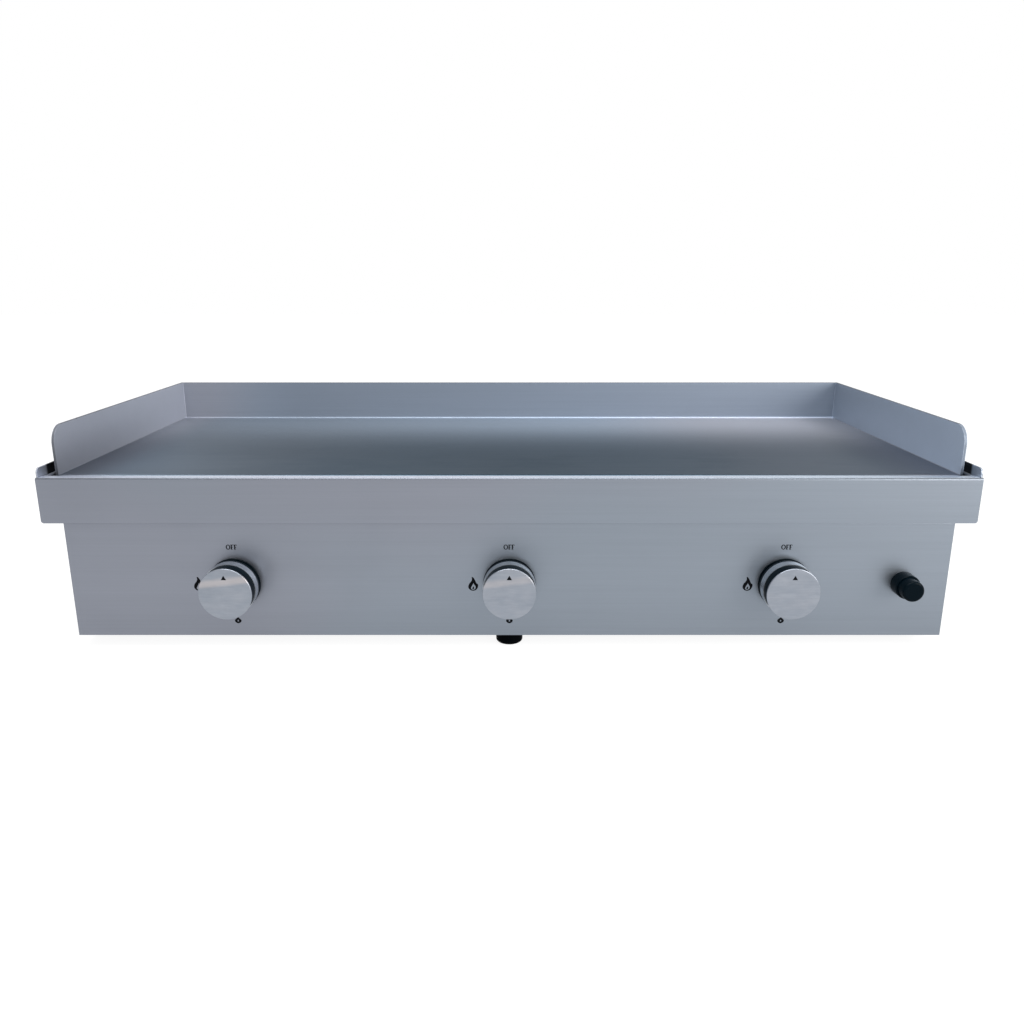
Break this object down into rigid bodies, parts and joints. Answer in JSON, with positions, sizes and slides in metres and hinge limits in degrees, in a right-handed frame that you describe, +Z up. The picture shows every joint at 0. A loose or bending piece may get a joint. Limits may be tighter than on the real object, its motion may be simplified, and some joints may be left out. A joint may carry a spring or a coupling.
{
  "type": "gas griddle",
  "caption": "Wide stainless gas griddle head for a counter: splash-guarded plate, pull-out grease tray, burners, push-and-turn knobs and igniter button.",
  "frame": {"origin": "on the surface that the feet stand on, in the middle of the whole part's width and depth", "axes": "+Z up, the control panel faces -Y, +X to the right as seen from the front"},
  "size_m": [1.039, 0.518, 0.254],
  "materials": {
    "body_steel": "satin stainless with a fine horizontal grain",
    "plate_steel": "satin stainless, bright along its bends",
    "pan_steel": "aluminised sheet",
    "burner_steel": "tube steel",
    "bright_steel": "plain bright steel",
    "knob_steel": "brushed knob trim",
    "black_plastic": "moulded black",
    "foot_rubber": "moulded rubber",
    "lead_rubber": "silicone sleeve",
    "tap_brass": "machined brass",
    "copper": "drawn copper",
    "insulator_ceramic": "white ceramic",
    "cast_iron": "as cast"
  },
  "bodies": {
    "housing": {"control_panel": "body_steel", "side_panel_left": "body_steel", "side_panel_right": "body_steel", "back_panel": "body_steel", "bottom_pan": "pan_steel", "firebox_front": "pan_steel", "firebox_liner": "pan_steel", "firebox_back": "pan_steel", "burner_rail_front": "pan_steel", "burner_rail_rear": "pan_steel", "burner_left": "burner_steel", "burner_middle": "burner_steel", "burner_right": "burner_steel", "gas_rail": "burner_steel", "air_shutters": "bright_steel", "panel_screws": "bright_steel", "foot_screws": "bright_steel", "spark_pins": "bright_steel", "flame_sensors": "bright_steel", "igniter_spring": "bright_steel", "tap_spring_left": "bright_steel", "tap_spring_middle": "bright_steel", "tap_spring_right": "bright_steel", "knob_bezel_left": "black_plastic", "knob_bezel_middle": "black_plastic", "knob_bezel_right": "black_plastic", "igniter_collar": "black_plastic", "igniter_nut": "black_plastic", "igniter_box": "black_plastic", "feet": "foot_rubber", "spark_leads": "lead_rubber", "tap_left": "tap_brass", "tap_middle": "tap_brass", "tap_right": "tap_brass", "injectors": "tap_brass", "inlet_fitting": "tap_brass", "inlet_nut": "tap_brass", "feed_pipe": "copper", "sensor_leads": "copper", "spark_insulators": "insulator_ceramic"},
    "griddle_top": {"griddle_plate": "plate_steel", "sub_plate": "cast_iron"},
    "tray": {"grease_tray": "body_steel"},
    "igniter_plunger": {"igniter_button": "black_plastic"},
    "tap_carriage_left": {"spring_cup_left": "bright_steel"},
    "control_left": {"stem_left": "bright_steel", "knob_left": "black_plastic", "knob_cap_left": "knob_steel", "knob_ring_left": "knob_steel"},
    "tap_carriage_middle": {"spring_cup_middle": "bright_steel"},
    "control_middle": {"stem_middle": "bright_steel", "knob_middle": "black_plastic", "knob_cap_middle": "knob_steel", "knob_ring_middle": "knob_steel"},
    "tap_carriage_right": {"spring_cup_right": "bright_steel"},
    "control_right": {"stem_right": "bright_steel", "knob_right": "black_plastic", "knob_cap_right": "knob_steel", "knob_ring_right": "knob_steel"}
  },
  "joints": [
    {"name": "plate_lift", "type": "slide", "parent": "housing", "child": "griddle_top", "axis": [0, 0, 1], "range_m": [0, 0.08]},
    {"name": "tray_slide", "type": "slide", "parent": "housing", "child": "tray", "axis": [0, -1, 0], "range_m": [0, 0.12]},
    {"name": "igniter_push", "type": "slide", "parent": "housing", "child": "igniter_plunger", "axis": [0, 1, 0], "range_m": [0, 0.005], "stiffness_N_per_m": 2000, "springref_m": -0.003, "deforming": ["igniter_spring"]},
    {"name": "knob_left_push", "type": "slide", "parent": "housing", "child": "tap_carriage_left", "axis": [0, 1, 0], "range_m": [0, 0.004], "stiffness_N_per_m": 2000, "springref_m": -0.002, "deforming": ["tap_spring_left"]},
    {"name": "knob_left_turn", "type": "hinge", "parent": "tap_carriage_left", "child": "control_left", "pos_m": [-0.3116, -0.24, 0.0785], "axis": [0, -1, 0], "range_deg": [0, 180]},
    {"name": "knob_middle_push", "type": "slide", "parent": "housing", "child": "tap_carriage_middle", "axis": [0, 1, 0], "range_m": [0, 0.004], "stiffness_N_per_m": 2000, "springref_m": -0.002, "deforming": ["tap_spring_middle"]},
    {"name": "knob_middle_turn", "type": "hinge", "parent": "tap_carriage_middle", "child": "control_middle", "pos_m": [0, -0.24, 0.0785], "axis": [0, -1, 0], "range_deg": [0, 180]},
    {"name": "knob_right_push", "type": "slide", "parent": "housing", "child": "tap_carriage_right", "axis": [0, 1, 0], "range_m": [0, 0.004], "stiffness_N_per_m": 2000, "springref_m": -0.002, "deforming": ["tap_spring_right"]},
    {"name": "knob_right_turn", "type": "hinge", "parent": "tap_carriage_right", "child": "control_right", "pos_m": [0.3116, -0.24, 0.0785], "axis": [0, -1, 0], "range_deg": [0, 180]}
  ]
}
